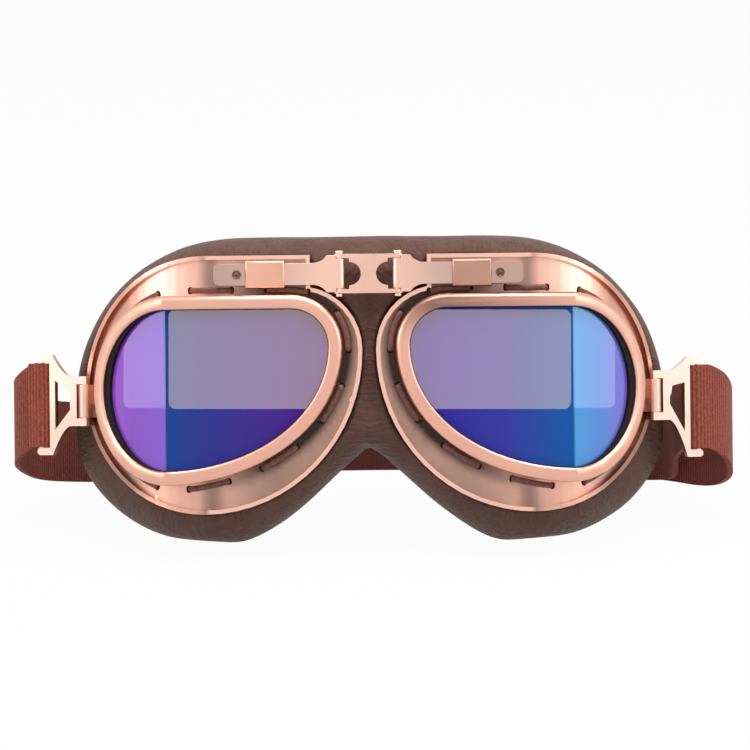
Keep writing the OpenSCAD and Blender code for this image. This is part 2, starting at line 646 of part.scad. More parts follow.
// The pad's widest outline: flat top, round temple, lower cheek and the notch for the nose
pad_top_x = 40;
pad_cheek_x = 45;
pad_top_z = -4;
pad_cheek_z = -12;
notch_power = 0.8;
notch_gather = 1.2;
notch_start = 7;
function notch_point(u) =
    let (x = pow(u, notch_gather))
    [pad_cheek_x * x, mix(-pad_low, -notch_z, pow(1 - pow(x, 1 / notch_power), 2))];
function pad_outer_xz(i) =
    i < n_top ? [mix(pad_top_x, pad_top_x / 4, i / n_top), pad_top]
    : i < n_top + n_nose ? let (t = steps(i, n_top, n_nose))
        [pad_top_x / 4 * max(0, 1 - 2 * t), mix(pad_top, cup_nose_cz, max(0, 2 * t - 1))]
    : i < n_front ?
        let (k = i - n_top - n_nose)
        k < notch_start ? [0, mix(cup_nose_cz, -notch_z, k / notch_start)]
        : notch_point((k - notch_start) / (n_low - notch_start))
    : let (a = -90 + 180 * steps(i, n_front, n_side))
        a < 0 ?
            [pad_cheek_x + (pad_side - pad_cheek_x) * cos(a), pad_cheek_z + (pad_low + pad_cheek_z) * sin(a)]
        : [pad_top_x + (pad_side - pad_top_x) * cos(a), pad_top_z + (pad_top - pad_top_z) * sin(a)];

function face_y(x) = pad_back + pad_wrap * pow(x / pad_side, 2);
function cup_rear(x) = sheet_y(x, cup_t + pad_gap);

// The pad is cut flat where it stands
flat_cut = 1;
pad_edge = 7;
function pad_edge_point(i) = let (q = pad_outer_xz(i)) [q[0], face_y(q[0]) - pad_edge, q[1]];
floor_z = min([for (i = [0:n_rim - 1]) lifted(pad_edge_point(i))]) + flat_cut;
function settled(p) = [p[0], p[1], max(p[2], (floor_z + p[1] * sin(lean)) / cos(lean))];

// A point of the pad's skirt: share out from the cup plate to the widest outline, and share back
function skirt_point(i, out, back) =
    let (b = pad_front_xz(i), e = pad_edge_point(i), mid = e[0] < tiny)
    settled([mid ? 0 : mix(b[0], e[0], out), mix(cup_rear(b[0]), e[1], back), mix(b[1], e[2], out)]);
function inner_point(i, d, back) =
    let (q = rim_point(i, d, rim_depth)) [q[0], mix(cup_rear(q[0]), face_y(q[0]), back), q[2]];
function back_point(i, share, extra) =
    let (e = pad_edge_point(i), g = inner_point(i, pad_inner_back, 1),
         x = e[0] < tiny && share < 0.5 ? 0 : mix(e[0], g[0], share))
    settled([x, face_y(x) + extra, mix(e[2], g[2], share)]);

pad_rings = [
    [for (i = [0:n_rim - 1]) inner_point(i, pad_inner_front, 0)],
    [for (i = [0:n_rim - 1]) let (b = pad_front_xz(i)) [b[0], cup_rear(b[0]), b[1]]],
    [for (i = [0:n_rim - 1]) skirt_point(i, 0.4, 0.12)],
    [for (i = [0:n_rim - 1]) skirt_point(i, 0.85, 0.5)],
    [for (i = [0:n_rim - 1]) skirt_point(i, 1, 1)],
    [for (i = [0:n_rim - 1]) back_point(i, 0.14, 0)],
    [for (i = [0:n_rim - 1]) inner_point(i, pad_inner_back, 1)],
    [for (i = [0:n_rim - 1]) inner_point(i, pad_inner_mid, 0.5)]];

lining_gap = 0.25;
lining_out = 0.2;
lining_in = 0.94;
lining_rings = [
    [for (i = [0:n_rim - 1]) back_point(i, lining_out, lining_gap)],
    [for (i = [0:n_rim - 1]) back_point(i, lining_out, lining_gap + lining_t)],
    [for (i = [0:n_rim - 1]) back_point(i, lining_in, lining_gap + lining_t)],
    [for (i = [0:n_rim - 1]) back_point(i, lining_in, lining_gap)]];

// Two mirrored halves as one solid: points on the middle plane are shared, faces in it are left out
module both_halves(rings) {
    half = flat_list(rings);
    count = len(half);
    points = concat(half, [for (p = half) [-p[0], p[1], p[2]]]);
    faces = loft_faces(len(rings), n_rim);
    on_mid = [for (p = half) abs(p[0]) < tiny];
    outside = [for (f = faces) if (!(on_mid[f[0]] && on_mid[f[1]] && on_mid[f[2]])) f];
    mirrored = [for (f = outside) [for (k = [2, 1, 0]) on_mid[f[k]] ? f[k] : f[k] + count]];
    polyhedron(points, concat(outside, mirrored), convexity = 10);
}
module face_pad() color([0.38, 0.29, 0.26]) stand() both_halves(pad_rings);
module pad_lining() color([0.30, 0.26, 0.24]) stand() both_halves(lining_rings);

// Strap: plan places and heights of its middle line, chosen by hand for the right side
rest_dir = [cos(buckle_rest), sin(buckle_rest)];
rest_front = [sin(buckle_rest), -cos(buckle_rest)];
bar = [hinge_x, hinge_y] + outer_bar_x * rest_dir;
bar_mid = [bar[0], bar[1], buckle_z - right_drop];
layer_gap = 3.4;
strap_slant = 138.8;
strap_line = [cos(strap_slant), sin(strap_slant), 0];
inward = layer_gap * [-sin(strap_slant), cos(strap_slant), 0];
strap_leg = 16;

// Places on the strap's way, from the middle of the buckle's outer bar
slider_off = [-18.9, 45.7, -10.8];
side_turn = [5.8, 21.7, -12.4];
side_out = [10.8, 10.7, -8.9];
front_turn = [8.4, 3, -3];
sewn_turn = [7.6, 6.2, -3.6];
tail_start = [-2.4, 0.6, 0];
tail_out = [-3.4, 5.9, -0.4];
tail_turn = [-5.3, 13.4, -3.3];
tail_back = [-4.7, 24.4, -9.4];
slider_at = bar_mid + slider_off;
slider_before = slider_at - strap_leg * strap_line;
slider_after = slider_at + strap_leg * strap_line;
strap_back = slider_after[1] + strap_sweep;
rear_low = -20;
rear_points = [
    [0.44 * slider_after[0], strap_back - 0.12 * strap_sweep, rear_low],
    [0.76 * slider_after[0], strap_back - 0.45 * strap_sweep, 0.85 * rear_low]];
side_points = [slider_after, slider_at, slider_before, bar_mid + side_turn, bar_mid + side_out];

// The left side of the strap hangs closer and higher than the right, from the slider's place to the buckle
left_in = [0, 0, 0, 2.2, 2.2];
left_up = [0.6, 0.8, 1.2, 4.2, 4.6];
left_side_points = [for (k = [0:len(left_in) - 1]) side_points[k] + [-left_in[k], 0, left_up[k]]];
function on_bar(turn) =
    let (c = bar + loop_r * (rest_front * cos(turn) - rest_dir * sin(turn))) [c[0], c[1], bar_mid[2]];
sewn_turns = [0:30:180];
loop_turns = [0:30:90];
lead_in = 2.6;
sewn_lead = 3.6;
sewn_end = 3.2;
function ahead(turn, run) = let (c = on_bar(turn)) c + run * [rest_dir[0], rest_dir[1], 0];

right_points = concat(
    [[0, strap_back, rear_low]], rear_points, side_points,
    [bar_mid + front_turn, ahead(0, lead_in)], [for (a = loop_turns) on_bar(a)],
    [bar_mid + tail_start, bar_mid + tail_out, bar_mid + tail_turn, bar_mid + tail_back],
    [slider_before + inward, slider_at + inward, slider_after + inward]);
sewn_points = concat(
    [ahead(0, sewn_end)], [for (a = sewn_turns) on_bar(a)], [ahead(180, sewn_lead), bar_mid + sewn_turn]);
left_lift = [0, 0, right_drop - left_drop];
left_points = concat(
    [for (p = sewn_points) p + left_lift], reversed(left_side_points), reversed(rear_points));
strap_points = concat([for (p = left_points) [-p[0], p[1], p[2]]], right_points);
strap_path = concat(curve(strap_points, 3), [strap_points[len(strap_points) - 1]]);
n_strap = len(strap_path);

function strap_ring(i) =
    let (p = strap_path[i], a = strap_path[max(i - 1, 0)], b = strap_path[min(i + 1, n_strap - 1)],
         course = unit([b[0] - a[0], b[1] - a[1], 0]), side = [-course[1], course[0], 0] * strap_t / 2,
         floor_here = (floor_z + (p[1] + strap_t / 2) * sin(lean)) / cos(lean),
         z = max(p[2], floor_here + strap_w / 2), half = strap_w / 2, c = [p[0], p[1], z])
    [c - side + [0, 0, half], c + side + [0, 0, half], c + side - [0, 0, half], c - side - [0, 0, half]];
strap_rings = [for (i = [0:n_strap - 1]) strap_ring(i)];

module head_strap() color([0.55, 0.28, 0.22]) stand() {
    faces = [for (f = loft_faces(n_strap, 4)) if (max(f) - min(f) < 2 * 4) f];
    ends = [[3, 2, 1, 0], [for (j = [0:3]) (n_strap - 1) * 4 + j]];
    polyhedron(flat_list(strap_rings), concat(faces, ends), convexity = 12);
}

// Slider: a frame round both layers of the strap, with a bar between them
slider_room = layer_gap / 2 + strap_t / 2 + strap_fit;
slider_tall = strap_w / 2 + 2 * strap_fit;
module strap_slider() color([0.80, 0.62, 0.54]) stand()
    translate(slider_at + inward / 2) rotate([0, 0, strap_slant]) {
        difference() {
            cube([slider_l, 2 * (slider_room + slider_bar), 2 * (slider_tall + slider_bar)], center = true);
            cube([far, 2 * slider_room, 2 * slider_tall], center = true);
            cube([slider_l / 2, far, 2 * slider_tall], center = true);
        }
        cube([slider_l / 4, slider_bar, 2 * slider_tall + slider_bar], center = true);
    }

// Depth of the goggles as they stand, from the rim's front to the strap's back
depth_mid = (min([for (ring = rim_rings) for (p = ring) backed(p)])
    + max([for (ring = strap_rings) for (p = ring) backed(p)])) / 2;

bridge_plate();
face_pad();
pad_lining();
head_strap();
strap_slider();
left_side() hinge_pin();  // left_hinge_pin
left_side() cup_flange();  // left_cup_flange
left_side() lens_rim();  // left_lens_rim
left_side() lens();  // left_lens
left_side() lens_gasket();  // left_lens_gasket
left_side() lace();  // left_lace
left_side() bridge_arm();  // left_bridge_arm
left_side() arm_clip();  // left_arm_clip
left_side() arm_rivet();  // left_arm_rivet
left_side() strap_lug();  // left_strap_lug
left_side() buckle(left_drop);  // left_buckle
right_side() hinge_pin();  // right_hinge_pin
right_side() cup_flange();  // right_cup_flange
right_side() lens_rim();  // right_lens_rim
right_side() lens();  // right_lens
right_side() lens_gasket();  // right_lens_gasket
right_side() lace();  // right_lace
right_side() bridge_arm();  // right_bridge_arm
right_side() arm_clip();  // right_arm_clip
right_side() arm_rivet();  // right_arm_rivet
right_side() strap_lug();  // right_strap_lug
right_side() buckle(right_drop);  // right_buckle
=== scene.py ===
# Vintage motorcycle goggles in rose copper, leatherette and elastic, standing on a white table. In metres.
import json
import math

import bmesh
import bpy
from mathutils import Matrix, Vector, noise
from mathutils.bvhtree import BVHTree

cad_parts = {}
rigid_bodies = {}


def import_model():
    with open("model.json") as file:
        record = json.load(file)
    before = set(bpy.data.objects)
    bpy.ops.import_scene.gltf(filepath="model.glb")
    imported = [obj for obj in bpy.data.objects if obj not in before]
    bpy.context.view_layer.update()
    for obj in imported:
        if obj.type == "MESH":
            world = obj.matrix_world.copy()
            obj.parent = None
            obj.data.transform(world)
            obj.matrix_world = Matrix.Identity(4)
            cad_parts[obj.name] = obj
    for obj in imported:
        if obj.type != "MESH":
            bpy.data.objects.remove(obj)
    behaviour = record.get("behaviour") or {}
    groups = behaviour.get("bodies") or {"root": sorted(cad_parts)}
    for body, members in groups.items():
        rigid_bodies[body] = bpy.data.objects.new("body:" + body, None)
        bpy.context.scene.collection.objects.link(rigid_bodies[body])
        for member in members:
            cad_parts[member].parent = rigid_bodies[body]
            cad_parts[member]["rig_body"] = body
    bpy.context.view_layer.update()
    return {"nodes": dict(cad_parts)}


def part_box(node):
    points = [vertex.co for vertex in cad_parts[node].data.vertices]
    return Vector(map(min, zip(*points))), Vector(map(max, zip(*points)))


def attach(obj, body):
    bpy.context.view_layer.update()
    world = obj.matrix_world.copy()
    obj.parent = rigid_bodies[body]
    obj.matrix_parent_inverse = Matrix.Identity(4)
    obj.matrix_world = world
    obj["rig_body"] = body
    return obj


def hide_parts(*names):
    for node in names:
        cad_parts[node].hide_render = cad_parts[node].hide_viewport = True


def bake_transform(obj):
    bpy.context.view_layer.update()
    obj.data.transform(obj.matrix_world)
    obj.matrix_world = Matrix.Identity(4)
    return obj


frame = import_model()
scene = bpy.context.scene


# Cup plates: stamped from thin sheet with lace slots and a rolled outer lip, and plated in rose copper.
# Painted shade darkens the plating beside the rim: its tone runs from 0, pale, to 1, almost black.
# The plates lean back with the whole goggles, and UNSTAND gives a place on the goggles held upright.
LEAN = math.radians(14)
STAND_PLACE = (0, -0.046753, 0.051338)
STAND = Matrix.Translation(STAND_PLACE) @ Matrix.Rotation(-LEAN, 4, "X")
UNSTAND = STAND.inverted()
SIDES = ("left", "right")
MERGE_DISTANCE = 1e-6
FLAT_ANGLE = math.radians(0.5)
SHARP_ANGLE = math.radians(33)
LENS_MIDDLE = (0.047, 0.050, 0)

PLATE_TONES_AND_PAINTED_SHADE = [
    (0, (0.90, 0.58, 0.47)), (0.2, (0.84, 0.46, 0.35)), (0.5, (0.40, 0.24, 0.19)), (1, (0.045, 0.030, 0.026))]
PLATE_ROUGHNESS = 0.33
PATCH_SCALE = 45
PATCH_TONES = ((0.3, 0.82), (0.65, 1.04))
PATCH_RANGE = (0.3, 0.7)
PATCH_DRIFT = 0.06
GLOSSIER = 0.05
DULLER = 0.07
GRAIN_ALONG = 1.5
GRAIN_OUTWARD = 1400
GRAIN_DEPTH = 0.0002
BRUSHED = 0.05

LIP_RADIUS = 0.00055
SLOT_EDGE = 0.00075
RIM_SEAT = 0.002
LIP_FRONT = 0.0056
TONE_CELL = 0.0015
# The tones below lay painted shade beside the rim towards the nose, along the plate's bend and deep at the
# temple, and a painted highlight at the upper temple.
PLATE_TONE = 0.2
LIP_TONE = 0.12
NOSE_FROM = 0.047
NOSE_TO = 0.027
NOSE_TONE = 0.3
DARK_FROM = 0.0045
DARK_TO = 0.0017
DARK_TONE = 0.6
STREAK_X = 0.0462
STREAK_WIDTH = 0.0028
STREAK_TONE = 0.35
PALE_FROM = NOSE_FROM
PALE_TO = 0.057
PALE_LOW = -0.01
PALE_HIGH = 0.02
PALE_TONE = -0.2
TEMPLE_FROM = 0.064
TEMPLE_TO = 0.072
TEMPLE_DEEP = 0.012
TEMPLE_TONE = 0.3
LOW_FROM = -0.02
LOW_TO = -0.035
LOW_TONE = 0.1


def mesh_object(bm, name):
    mesh = bpy.data.meshes.new(name)
    bm.to_mesh(mesh)
    bm.free()
    obj = bpy.data.objects.new(name, mesh)
    scene.collection.objects.link(obj)
    return obj


def merged_copy(node):
    bm = bmesh.new()
    bm.from_mesh(frame["nodes"][node].data)
    bmesh.ops.remove_doubles(bm, verts=bm.verts, dist=MERGE_DISTANCE)
    return bm


def plain_copy(node):
    """A copy of a node's mesh, with one face for each flat."""
    bm = merged_copy(node)
    bmesh.ops.dissolve_limit(bm, angle_limit=FLAT_ANGLE, verts=bm.verts, edges=bm.edges)
    return bm


def smooth_faces(bm):
    for face in bm.faces:
        face.smooth = True
    for edge in bm.edges:
        edge.smooth = edge.calc_face_angle(0) < SHARP_ANGLE


def sharp_edges(bm, shortest):
    return [e for e in bm.edges if e.calc_face_angle(0) > SHARP_ANGLE and e.calc_length() > shortest]


def round_edges(bm, edges, radius):
    bmesh.ops.bevel(
        bm, geom=edges, offset=radius, offset_type="OFFSET", segments=3, profile=0.5,
        affect="EDGES", clamp_overlap=True, material=-1)


def node_piece(bm, node, name, finish):
    """Makes the piece that stands for one whole node and moves with that node's body."""
    smooth_faces(bm)
    obj = mesh_object(bm, name)
    obj.data.materials.append(finish)
    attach(obj, frame["nodes"][node]["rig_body"])
    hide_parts(node)
    return obj


def keep_flats(obj):
    """Shades flat faces flat and leaves the rounding to the bevels between them."""
    flats = obj.modifiers.new("flats", "WEIGHTED_NORMAL")
    flats.keep_sharp = True
    flats.weight = 100


class Nodes:
    """A material's node tree, with short calls to add nodes and links."""

    def __init__(self, name):
        self.material = bpy.data.materials.new(name)
        self.material.use_nodes = True
        self.tree = self.material.node_tree
        self.shader = self.tree.nodes["Principled BSDF"]

    def add(self, kind, **settings):
        node = self.tree.nodes.new(kind)
        for key, value in settings.items():
            setattr(node, key, value)
        return node

    def join(self, source, target):
        self.tree.links.new(source, target)

    def paint(self, source, socket):
        self.join(source, self.shader.inputs[socket])

    def fix(self, **values):
        for socket, value in values.items():
            self.shader.inputs[socket.replace("_", " ")].default_value = value

    def coords(self, scale=(1, 1, 1), which="Object"):
        mapping = self.add("ShaderNodeMapping")
        mapping.inputs["Scale"].default_value = scale
        self.join(self.add("ShaderNodeTexCoord").outputs[which], mapping.inputs["Vector"])
        return mapping.outputs["Vector"]

    def place(self, axis):
        split = self.add("ShaderNodeSeparateXYZ")
        self.join(self.coords(), split.inputs[0])
        return split.outputs[axis]

    def attribute(self, name):
        return self.add("ShaderNodeAttribute", attribute_name=name).outputs["Fac"]

    def maths(self, operation, first, second=None):
        node = self.add("ShaderNodeMath", operation=operation)
        for value, socket in zip((first, second), node.inputs):
            if isinstance(value, (int, float)):
                socket.default_value = value
            elif value is not None:
                self.join(value, socket)
        return node.outputs[0]

    def around_lens(self, along, outward):
        """Coordinates round the nearer lens, with one scale along its rim and one outward and back."""
        flat = self.add("ShaderNodeCombineXYZ")
        self.join(self.maths("ABSOLUTE", self.place("X")), flat.inputs["X"])
        self.join(self.place("Z"), flat.inputs["Y"])
        reach = self.add("ShaderNodeVectorMath", operation="SUBTRACT")
        self.join(flat.outputs[0], reach.inputs[0])
        reach.inputs[1].default_value = LENS_MIDDLE
        turn = self.add("ShaderNodeVectorMath", operation="NORMALIZE")
        self.join(reach.outputs[0], turn.inputs[0])
        size = self.add("ShaderNodeVectorMath", operation="LENGTH")
        self.join(reach.outputs[0], size.inputs[0])
        out = self.add("ShaderNodeCombineXYZ")
        away = self.maths("ADD", size.outputs["Value"], self.place("Y"))
        self.join(self.maths("MULTIPLY", away, outward), out.inputs["Z"])
        result = self.add("ShaderNodeVectorMath", operation="MULTIPLY_ADD")
        self.join(turn.outputs[0], result.inputs[0])
        result.inputs[1].default_value = (along, along, 0)
        self.join(out.outputs[0], result.inputs[2])
        return result.outputs[0]

    def noise(self, vector, scale=1, detail=3, rough=0.55):
        node = self.add("ShaderNodeTexNoise")
        node.inputs["Scale"].default_value = scale
        node.inputs["Detail"].default_value = detail
        node.inputs["Roughness"].default_value = rough
        self.join(vector, node.inputs["Vector"])
        return node.outputs["Fac"]

    def ramp(self, value, stops):
        node = self.add("ShaderNodeValToRGB")
        elements = node.color_ramp.elements
        elements[0].position = stops[0][0]
        elements[1].position = stops[-1][0]
        for place, _ in stops[1:-1]:
            elements.new(place)
        for element, (_, colour) in zip(elements, stops):
            element.color = (*colour, 1)
        self.join(value, node.inputs["Fac"])
        return node.outputs["Color"]

    def mixed(self, share, first, second):
        """A mix of two colours. The node's colour sockets come after those for numbers and vectors."""
        node = self.add("ShaderNodeMix", data_type="RGBA")
        self.join(share, node.inputs[0])
        self.join(first, node.inputs[6])
        node.inputs[7].default_value = (*second, 1)
        return node.outputs[2]

    def spread(self, value, low, high, start=0, end=1):
        node = self.add("ShaderNodeMapRange")
        for socket, number in (("To Min", low), ("To Max", high), ("From Min", start), ("From Max", end)):
            node.inputs[socket].default_value = number
        self.join(value, node.inputs["Value"])
        return node.outputs["Result"]

    def bump(self, height, strength, distance, below=None):
        node = self.add("ShaderNodeBump")
        node.inputs["Strength"].default_value = strength
        node.inputs["Distance"].default_value = distance
        self.join(height, node.inputs["Height"])
        if below is not None:
            self.join(below, node.inputs["Normal"])
        self.paint(node.outputs["Normal"], "Normal")
        return node.outputs["Normal"]


def even_tones(colour):
    """The tones of an even plating, from its darker patches to its paler ones."""
    return [(place, tuple(min(1, c * factor) for c in colour)) for place, factor in PATCH_TONES]


def copper(name, tones, rough, mesh_toned=False, brushed=BRUSHED):
    """Copper plating, with its tones in patches or from the tones laid on its mesh, which carry painted
    shade, and on the cup plates painted highlight too.
    """
    nodes = Nodes(name)
    patches = tone = nodes.noise(nodes.coords(), PATCH_SCALE)
    if mesh_toned:
        drift = nodes.spread(patches, -PATCH_DRIFT, PATCH_DRIFT, *PATCH_RANGE)
        tone = nodes.maths("ADD", nodes.attribute("tone_and_painted_light"), drift)
    nodes.paint(nodes.ramp(tone, tones), "Base Color")
    grain = nodes.noise(nodes.around_lens(GRAIN_ALONG, GRAIN_OUTWARD)) if brushed else patches
    nodes.paint(nodes.spread(grain, rough - GLOSSIER, rough + DULLER), "Roughness")
    if brushed:
        nodes.bump(grain, brushed, GRAIN_DEPTH)
    nodes.fix(Metallic=1)
    return nodes.material


def everything(bm):
    return bm.verts[:] + bm.edges[:] + bm.faces[:]


def cut_into_cells(bm, size):
    """Cuts a piece into a fine grid across its width and height, so that its tone can change across it."""
    for axis in (Vector((1, 0, 0)), Vector((0, 0, 1))):
        reach = [vert.co.dot(axis) for vert in bm.verts]
        for k in range(math.ceil(min(reach) / size), math.ceil(max(reach) / size)):
            bmesh.ops.bisect_plane(bm, geom=everything(bm), plane_co=k * size * axis, plane_no=axis)


def lay_tone(bm, tone):
    """Stores the tone that a function gives for each vertex's place."""
    tone_and_painted_light = bm.verts.layers.float.new("tone_and_painted_light")
    for vert in bm.verts:
        vert[tone_and_painted_light] = tone(vert.co)


def share(value, start, end):
    """How far a value has come from start to end, between zero and one."""
    return min(1, max(0, (value - start) / (end - start)))


def plate_tone_and_painted_light(place, reach):
    """A cup plate's tone at a place and a reach from the rim: painted shade beside the rim towards the nose,
    in a streak along the plate's bend and deep at the temple, a little darker at the bottom, a painted
    highlight at the upper temple, and pale on the lip."""
    x = abs(place.x)
    nose = share(x, NOSE_FROM, NOSE_TO)
    if nose and place.y < LIP_FRONT:
        return LIP_TONE
    beside_rim = nose * (NOSE_TONE + DARK_TONE * share(reach, DARK_FROM, DARK_TO))
    streak = STREAK_TONE * math.exp(-((x - STREAK_X) / STREAK_WIDTH) ** 2)
    pale = PALE_TONE * share(x, PALE_FROM, PALE_TO) * share(place.z, PALE_LOW, PALE_HIGH)
    temple = TEMPLE_TONE * share(x, TEMPLE_FROM, TEMPLE_TO) * share(place.y, LIP_FRONT, TEMPLE_DEEP)
    low = LOW_TONE * share(place.z, LOW_FROM, LOW_TO)
    return PLATE_TONE + beside_rim + streak + pale + temple + low


def cup_plate(side, finish):
    """A cup plate, rounded everywhere but where the rim sits on it."""
    rim = BVHTree.FromBMesh(merged_copy(f"{side}_lens_rim"))
    bm = plain_copy(f"{side}_cup_flange")
    middles = {e: (e.verts[0].co + e.verts[1].co) / 2 for e in sharp_edges(bm, SLOT_EDGE)}
    free = [e for e, middle in middles.items() if rim.find_nearest(middle)[3] > RIM_SEAT]
    round_edges(bm, free, LIP_RADIUS)
    cut_into_cells(bm, TONE_CELL)
    lay_tone(bm, lambda place: plate_tone_and_painted_light(UNSTAND @ place, rim.find_nearest(place)[3]))
    keep_flats(node_piece(bm, f"{side}_cup_flange", f"{side}_cup_plate", finish))


cup_copper = copper("brushed_cup_copper", PLATE_TONES_AND_PAINTED_SHADE, PLATE_ROUGHNESS, mesh_toned=True)
for side in SIDES:
    cup_plate(side, cup_copper)


# Lens rims: bezels bent from a rolled strip, creased with the lens at the temple side.
# They are satin copper and sit on the cup plates round the lens opening. The right one's top is darker with
# painted shade.
RIM_TONES_AND_PAINTED_SHADE = [(0, (0.80, 0.43, 0.325)), (1, (0.27, 0.145, 0.115))]
RIM_ROUGHNESS = 0.30
CREASE = 0.05895
CREASE_SLACK = 0.00055
RIM_TOP_FROM = 0.015
RIM_TOP_TO = 0.024


def rim_painted_shade(side, place):
    """A rim's tone at a place: the right one's top, from the nose to the crease, is darkened with painted
    shade.
    """
    dark = side == "right" and place.x < CREASE + CREASE_SLACK
    return dark * share(place.z, RIM_TOP_FROM, RIM_TOP_TO)


rim_copper = copper("satin_rim_copper", RIM_TONES_AND_PAINTED_SHADE, RIM_ROUGHNESS, mesh_toned=True)
for side in SIDES:
    bm = plain_copy(f"{side}_lens_rim")
    lay_tone(bm, lambda place: rim_painted_shade(side, UNSTAND @ place))
    node_piece(bm, f"{side}_lens_rim", f"{side}_rim", rim_copper)


# Lenses: moulded panes bent at a crease, with a hard gloss coat over a blue and violet mirror film.
# The film's tint drifts across the face and jumps at the creases, where the side panes turn away.
LENS_REACH = 0.082
LENS_EDGE = 0.0007
LENS_ROUNDING = 0.0002
SQUARE_TURN = 1
JUMP = 0.0001
FILM = [
    (-0.080, (0.40, 0.09, 0.62)), (-0.070, (0.21, 0.055, 0.50)), (-CREASE - JUMP, (0.20, 0.070, 0.53)),
    (-CREASE, (0.016, 0.055, 0.25)), (-0.045, (0.034, 0.036, 0.25)), (-0.015, (0.073, 0.016, 0.215)),
    (0.015, (0.036, 0.019, 0.28)), (0.040, (0.036, 0.044, 0.30)), (CREASE, (0.010, 0.090, 0.32)),
    (CREASE + JUMP, (0.032, 0.26, 0.60)), (0.067, (0.055, 0.20, 0.58)), (0.080, (0.24, 0.084, 0.54))]

film = Nodes("violet_mirror_film")
film_place = film.spread(film.place("X"), 0, 1, -LENS_REACH, LENS_REACH)
film_stops = [(0.5 + place / (2 * LENS_REACH), colour) for place, colour in FILM]
film.paint(film.ramp(film_place, film_stops), "Base Color")
film.fix(Metallic=0.1, Roughness=0.3, Specular_IOR_Level=0, Coat_Weight=1, Coat_Roughness=0, Coat_IOR=1.6)
for side in SIDES:
    bm = plain_copy(f"{side}_lens")
    square = [e for e in sharp_edges(bm, LENS_EDGE) if e.calc_face_angle(0) > SQUARE_TURN]
    round_edges(bm, square, LENS_ROUNDING)
    node_piece(bm, f"{side}_lens", f"{side}_mirror_lens", film.material)


# Gaskets: soft black rubber channels that hold each lens in its rim.
# Only the edge inside the rim's lip shows.
RUBBER_TONES = [(0.3, (0.004, 0.003, 0.004)), (0.7, (0.012, 0.008, 0.011))]

rubber = Nodes("black_gasket_rubber")
rubber_grain = rubber.noise(rubber.coords(), scale=700)
rubber.paint(rubber.ramp(rubber_grain, RUBBER_TONES), "Base Color")
rubber.bump(rubber_grain, strength=0.2, distance=0.0002)
rubber.fix(Roughness=0.55, Specular_IOR_Level=0.15)
for side in SIDES:
    bm = plain_copy(f"{side}_lens_gasket")
    node_piece(bm, f"{side}_lens_gasket", f"{side}_gasket", rubber.material)


# Bridge: a pressed plate with two D-shaped cut-outs, hinged on pins to the arms of the cups.
# The arms lie on the cups' tabs, each held by a folded clip and a rivet. The right ones are greyer with
# painted shade.
BRIDGE_ROSE = (0.90, 0.56, 0.44)
PIN_ROSE = (0.90, 0.66, 0.56)
RIVET_SHADE_BROWN = (0.20, 0.11, 0.085)
CLIP_COLOURS_WITH_PAINTED_SHADE = {"left": (0.84, 0.45, 0.33), "right": (0.58, 0.315, 0.24)}
ARM_TONES = [
    (0, (0.90, 0.57, 0.45)), (0.25, (0.78, 0.50, 0.41)), (0.5, (0.62, 0.41, 0.34)), (1, (0.52, 0.35, 0.29))]
ARM_GREY_SPANS_WITH_PAINTED_SHADE = {"left": (0.012, 0.045), "right": (0.005, 0.036)}
ARM_CELL = 0.004
BRIDGE_EDGE = 0.0007
CAST_EDGE = 0.0003
FINE_EDGE = 0.00005
SHEET_ROUNDING = 0.00018
CLIP_ROUNDING = 0.0008
PIN_ROUNDING = 0.0002
RIVET_ROUNDING = 0.00015

bridge_copper = copper("bright_bridge_copper", even_tones(BRIDGE_ROSE), rough=0.30, brushed=0)
pin_copper = copper("pale_pin_copper", even_tones(PIN_ROSE), rough=0.25)
# The rivets' dark brown is painted shade, laid over the whole head for the groove round it.
rivet_copper = copper("shaded_rivet_copper", even_tones(RIVET_SHADE_BROWN), rough=0.4)
arm_copper = copper("greyed_arm_copper", ARM_TONES, rough=0.30, mesh_toned=True, brushed=0)


def cast_piece(node, name, radius, finish, shortest=CAST_EDGE):
    bm = plain_copy(node)
    round_edges(bm, sharp_edges(bm, shortest), radius)
    keep_flats(node_piece(bm, node, name, finish))


def greyed_arm(side):
    """A bridge arm that greys from its bright hinge towards its far end, the right one sooner with painted
    shade.
    """
    node = f"{side}_bridge_arm"
    bm = plain_copy(node)
    round_edges(bm, sharp_edges(bm, FINE_EDGE), SHEET_ROUNDING)
    cut_into_cells(bm, ARM_CELL)
    lay_tone(bm, lambda place: share(abs(place.x), *ARM_GREY_SPANS_WITH_PAINTED_SHADE[side]))
    keep_flats(node_piece(bm, node, f"{side}_arm", arm_copper))


def folded_clip(side):
    """A folded sleeve, rounded only where its sheet turns away from its front."""
    node = f"{side}_arm_clip"
    bm = plain_copy(node)
    front = min(bm.faces, key=lambda f: f.normal.y * f.calc_area())
    round_edges(bm, list(front.edges), CLIP_ROUNDING)
    # The right clip's darker copper is painted shade.
    finish = copper(f"{side}_clip_copper", even_tones(CLIP_COLOURS_WITH_PAINTED_SHADE[side]), rough=0.28, brushed=0)
    keep_flats(node_piece(bm, node, f"{side}_clip", finish))


cast_piece("bridge_plate", "nose_bridge", SHEET_ROUNDING, bridge_copper, BRIDGE_EDGE)
for side in SIDES:
    cast_piece(f"{side}_hinge_pin", f"{side}_pin", PIN_ROUNDING, pin_copper, FINE_EDGE)
    greyed_arm(side)
    folded_clip(side)
    cast_piece(f"{side}_arm_rivet", f"{side}_rivet", RIVET_ROUNDING, rivet_copper, FINE_EDGE)


# Lugs and buckles: a rolled lug on each cup carries the hinge bar of a cast strap buckle.
# Both are plated in a paler rose and polished.
BUCKLE_ROSE = (0.86, 0.60, 0.50)
LUG_ROUNDING = 0.0002
BUCKLE_ROUNDING = 0.0004

